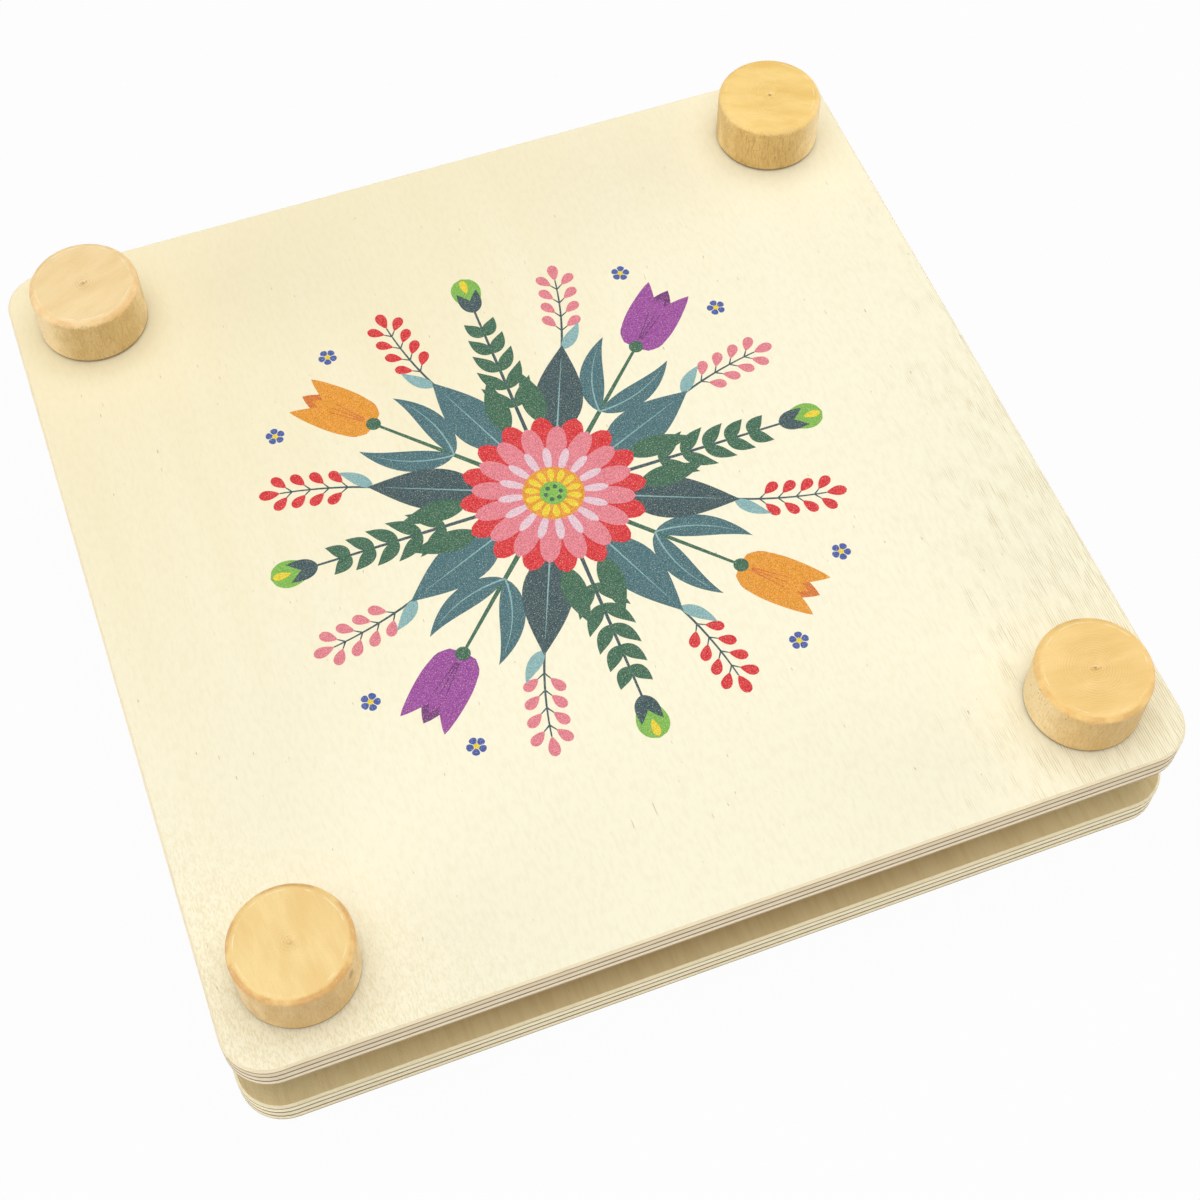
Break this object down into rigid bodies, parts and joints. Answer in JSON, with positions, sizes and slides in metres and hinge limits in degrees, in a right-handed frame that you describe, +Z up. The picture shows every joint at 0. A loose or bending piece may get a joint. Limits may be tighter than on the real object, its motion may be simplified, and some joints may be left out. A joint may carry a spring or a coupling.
{
  "type": "flower press",
  "caption": "Square plywood flower press: wooden knobs on corner bolts draw the upper board down on a stack of corrugated cards and blotting sheets.",
  "frame": {"origin": "centre of the lower board's underside, on the plane that the press stands on", "axes": "+Z up through the boards, +X to the right and -Y to the front edge, seen with the print upright"},
  "size_m": [0.16, 0.16, 0.0337],
  "materials": {
    "plywood": "matte",
    "knob_wood": "satin",
    "bolt_steel": "satin",
    "insert_brass": "satin",
    "corrugated_card": "matte",
    "blotting_paper": "matte",
    "print_ink": "matte"
  },
  "bodies": {
    "base": {"bottom_board": "plywood", "bolt_front_left": "bolt_steel", "bolt_front_right": "bolt_steel", "bolt_back_left": "bolt_steel", "bolt_back_right": "bolt_steel", "card_1": "corrugated_card", "card_2": "corrugated_card", "card_3": "corrugated_card", "card_4": "corrugated_card", "card_5": "corrugated_card", "blotter_1": "blotting_paper", "blotter_2": "blotting_paper", "blotter_3": "blotting_paper", "blotter_4": "blotting_paper", "blotter_5": "blotting_paper", "blotter_6": "blotting_paper", "blotter_7": "blotting_paper", "blotter_8": "blotting_paper"},
    "lid": {"top_board": "plywood"},
    "turner_front_left": {"knob_front_left": "knob_wood", "insert_front_left": "insert_brass"},
    "turner_front_right": {"knob_front_right": "knob_wood", "insert_front_right": "insert_brass"},
    "turner_back_left": {"knob_back_left": "knob_wood", "insert_back_left": "insert_brass"},
    "turner_back_right": {"knob_back_right": "knob_wood", "insert_back_right": "insert_brass"}
  },
  "joints": [
    {"name": "lid_lift", "type": "slide", "parent": "base", "child": "lid", "axis": [0, 0, 1], "range_m": [0, 0.005]},
    {"name": "front_left_knob_turn", "type": "hinge", "parent": "lid", "child": "turner_front_left", "pos_m": [-0.06575, -0.06575, 0.023], "axis": [0, 0, 1], "range_deg": [0, 1800]},
    {"name": "front_right_knob_turn", "type": "hinge", "parent": "lid", "child": "turner_front_right", "pos_m": [0.06575, -0.06575, 0.023], "axis": [0, 0, 1], "range_deg": [0, 1800]},
    {"name": "back_left_knob_turn", "type": "hinge", "parent": "lid", "child": "turner_back_left", "pos_m": [-0.06575, 0.06575, 0.023], "axis": [0, 0, 1], "range_deg": [0, 1800]},
    {"name": "back_right_knob_turn", "type": "hinge", "parent": "lid", "child": "turner_back_right", "pos_m": [0.06575, 0.06575, 0.023], "axis": [0, 0, 1], "range_deg": [0, 1800]}
  ],
  "couplings": [
    {"joint": "front_left_knob_turn", "follows": "lid_lift", "rad_per_m": 6283.2},
    {"joint": "front_right_knob_turn", "follows": "lid_lift", "rad_per_m": 6283.2},
    {"joint": "back_left_knob_turn", "follows": "lid_lift", "rad_per_m": 6283.2},
    {"joint": "back_right_knob_turn", "follows": "lid_lift", "rad_per_m": 6283.2}
  ]
}
